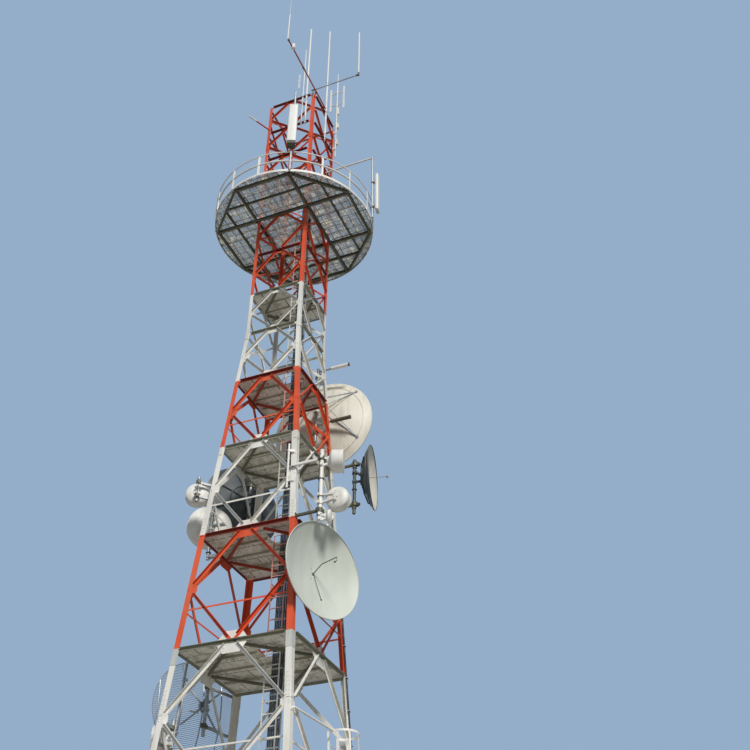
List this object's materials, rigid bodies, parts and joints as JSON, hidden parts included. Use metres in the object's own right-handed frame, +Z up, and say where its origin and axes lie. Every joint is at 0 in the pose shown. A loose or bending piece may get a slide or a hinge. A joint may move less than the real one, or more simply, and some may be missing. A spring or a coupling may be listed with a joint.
{
  "type": "cell tower",
  "caption": "Self-supporting lattice cell tower with inner platforms, a round railed platform, ladders, cables, dish, drum and panel antennas and whips.",
  "frame": {"origin": "centre of the underside of the front right leg's base plate, at ground level", "axes": "+Z up along the tower; +X from the left face to the right face; +Y from the front face to the back face"},
  "size_m": [5.6777, 5.7732, 36.36],
  "materials": {
    "banded_paint": "red and white bands, satin, worn",
    "ladder_paint": "faded banded paint",
    "platform_paint": "weathered grey",
    "beam_paint": "dark olive grey",
    "deck_steel": "galvanized grating",
    "white_paint": "satin white",
    "galvanized": "dull galvanized",
    "cable_jacket": "matt black",
    "dish_green_grey": "satin pale grey green",
    "dish_cream": "satin cream",
    "dish_slate": "satin dark slate",
    "grid_metal": "weathered",
    "drum_white": "satin white",
    "drum_grey": "satin grey",
    "radome_white": "smooth off-white"
  },
  "bodies": {
    "root": {"back_dish": "dish_cream", "back_dish_mount": "galvanized", "back_lower_bracing": "banded_paint", "back_upper_bracing": "banded_paint", "cable_bundle": "cable_jacket", "cable_rack": "galvanized", "caged_ladder": "galvanized", "dipole_mast": "galvanized", "far_dish": "dish_slate", "far_dish_mount": "galvanized", "front_boom": "white_paint", "front_dish": "dish_green_grey", "front_dish_mount": "galvanized", "front_lower_bracing": "banded_paint", "front_panel_antenna": "radome_white", "front_upper_bracing": "banded_paint", "grid_antenna": "grid_metal", "grid_antenna_mount": "galvanized", "ladder": "ladder_paint", "ladder_cage": "galvanized", "left_drum_big": "drum_white", "left_drum_big_mount": "galvanized", "left_drum_low": "drum_grey", "left_drum_low_mount": "galvanized", "left_drum_small": "drum_white", "left_drum_small_mount": "galvanized", "left_lower_bracing": "banded_paint", "left_pole": "galvanized", "left_upper_bracing": "banded_paint", "leg_back_left": "banded_paint", "leg_back_right": "banded_paint", "leg_front_left": "banded_paint", "leg_front_right": "banded_paint", "platform_a": "platform_paint", "platform_b": "platform_paint", "platform_c": "platform_paint", "platform_d": "platform_paint", "platform_e": "platform_paint", "platform_z": "platform_paint", "platform_z_handrail": "white_paint", "right_boom": "galvanized", "right_drum_lower": "drum_white", "right_drum_small": "drum_white", "right_drum_upper": "drum_white", "right_lower_bracing": "banded_paint", "right_mast": "white_paint", "right_panel_antenna": "radome_white", "right_upper_bracing": "banded_paint", "round_platform_floor": "deck_steel", "round_platform_frame": "beam_paint", "round_platform_railing": "white_paint", "side_dish": "dish_slate", "side_dish_mount": "galvanized", "whips": "radome_white"}
  },
  "joints": []
}
